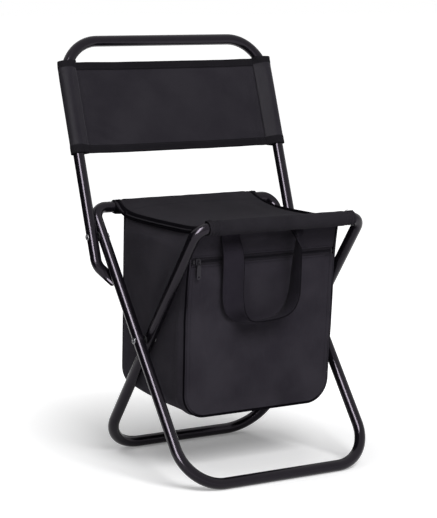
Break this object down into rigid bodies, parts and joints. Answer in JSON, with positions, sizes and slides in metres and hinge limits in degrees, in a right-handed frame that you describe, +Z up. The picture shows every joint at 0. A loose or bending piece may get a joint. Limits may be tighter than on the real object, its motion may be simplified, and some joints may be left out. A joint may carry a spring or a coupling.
{
  "type": "folding cooler stool",
  "caption": "Folding stool of crossed black tube frames with a sling seat, an insulated zip bag under it with a carry strap, and a backrest that folds forward.",
  "frame": {"origin": "on the ground, under the middle of the open stool's overall width and depth", "axes": "+Z up, -Y towards the front of the seat, +X across the width to the right when seen from the front"},
  "size_m": [0.3714, 0.3485, 0.6023],
  "materials": {
    "frame_paint": "gloss",
    "spigot_steel": "bare",
    "rivet_steel": "dark plated",
    "washer_plastic": "natural",
    "plug_plastic": "satin",
    "seat_fabric": "matte weave",
    "binding": "matte weave",
    "bag_fabric": "matte weave",
    "piping": "matte weave",
    "zip_tape": "matte weave",
    "zip_metal": "dark plated",
    "liner_foil": "metallised film",
    "strap_webbing": "matte weave"
  },
  "bodies": {
    "outer_frame": {"outer_frame_tube": "frame_paint", "outer_frame_spigot": "spigot_steel", "pivot_rivet_left": "rivet_steel", "pivot_rivet_right": "rivet_steel", "pivot_washer_left": "washer_plastic", "pivot_washer_right": "washer_plastic", "backrest_rivet_left": "rivet_steel", "backrest_rivet_right": "rivet_steel", "backrest_washer_left": "washer_plastic", "backrest_washer_right": "washer_plastic", "seat_panel": "seat_fabric", "seat_hem_left": "binding", "seat_hem_right": "binding", "seat_rear_sleeve": "seat_fabric"},
    "inner_frame": {"inner_frame_tube": "frame_paint", "inner_frame_spigot": "spigot_steel", "seat_front_sleeve": "seat_fabric"},
    "backrest": {"backrest_tube": "frame_paint", "backrest_plug_left": "plug_plastic", "backrest_plug_right": "plug_plastic", "backrest_panel": "seat_fabric", "backrest_top_hem": "binding", "backrest_bottom_hem": "binding", "backrest_sleeve_left": "seat_fabric", "backrest_sleeve_right": "seat_fabric"},
    "cooler_bag": {"bag_back_panel": "bag_fabric", "bag_side_left": "bag_fabric", "bag_side_right": "bag_fabric", "bag_base": "bag_fabric", "bag_back_piping": "piping", "liner_back": "liner_foil", "liner_wrap": "liner_foil"},
    "bag_front": {"bag_front_panel": "bag_fabric", "bag_front_yoke": "bag_fabric", "bag_front_piping": "piping", "liner_front": "liner_foil", "zip_tape_upper": "zip_tape", "zip_tape_lower": "zip_tape", "zip_stop_left": "zip_metal", "zip_stop_right": "zip_metal"},
    "zip_slider": {"zip_slider": "zip_metal"},
    "zip_puller": {"zip_puller": "zip_metal"},
    "carry_strap": {"carry_strap": "strap_webbing"}
  },
  "joints": [
    {"name": "frame_fold", "type": "hinge", "parent": "outer_frame", "child": "inner_frame", "pos_m": [0, -0.03035, 0.189], "axis": [-1, 0, 0], "range_deg": [0, 65], "deforming": ["seat_panel", "seat_hem_left", "seat_hem_right", "bag_back_panel", "bag_side_left", "bag_side_right", "bag_base", "bag_back_piping", "liner_back", "liner_wrap", "bag_front_panel", "bag_front_yoke", "bag_front_piping", "liner_front", "zip_tape_upper", "zip_tape_lower"]},
    {"name": "backrest_fold", "type": "hinge", "parent": "outer_frame", "child": "backrest", "pos_m": [0, 0.07012, 0.32282], "axis": [1, 0, 0], "range_deg": [0, 90]},
    {"name": "bag_swing", "type": "hinge", "parent": "outer_frame", "child": "cooler_bag", "pos_m": [0, 0.09804, 0.36], "axis": [-1, 0, 0], "range_deg": [0, 27]},
    {"name": "bag_close", "type": "slide", "parent": "cooler_bag", "child": "bag_front", "axis": [0, 1, 0], "range_m": [0, 0.165]},
    {"name": "strap_lift", "type": "hinge", "parent": "bag_front", "child": "carry_strap", "pos_m": [0, -0.11365, 0.345], "axis": [-1, 0, 0], "range_deg": [0, 35]},
    {"name": "zip_slide", "type": "slide", "parent": "bag_front", "child": "zip_slider", "axis": [1, 0, 0], "range_m": [0, 0.22]},
    {"name": "puller_swing", "type": "hinge", "parent": "zip_slider", "child": "zip_puller", "pos_m": [-0.1102, -0.11068, 0.308], "axis": [-1, 0, 0], "range_deg": [0, 120]}
  ],
  "couplings": [
    {"joint": "bag_swing", "follows": "frame_fold", "ratio": 0.41538},
    {"joint": "bag_close", "follows": "frame_fold", "m_per_rad": 0.14544}
  ]
}
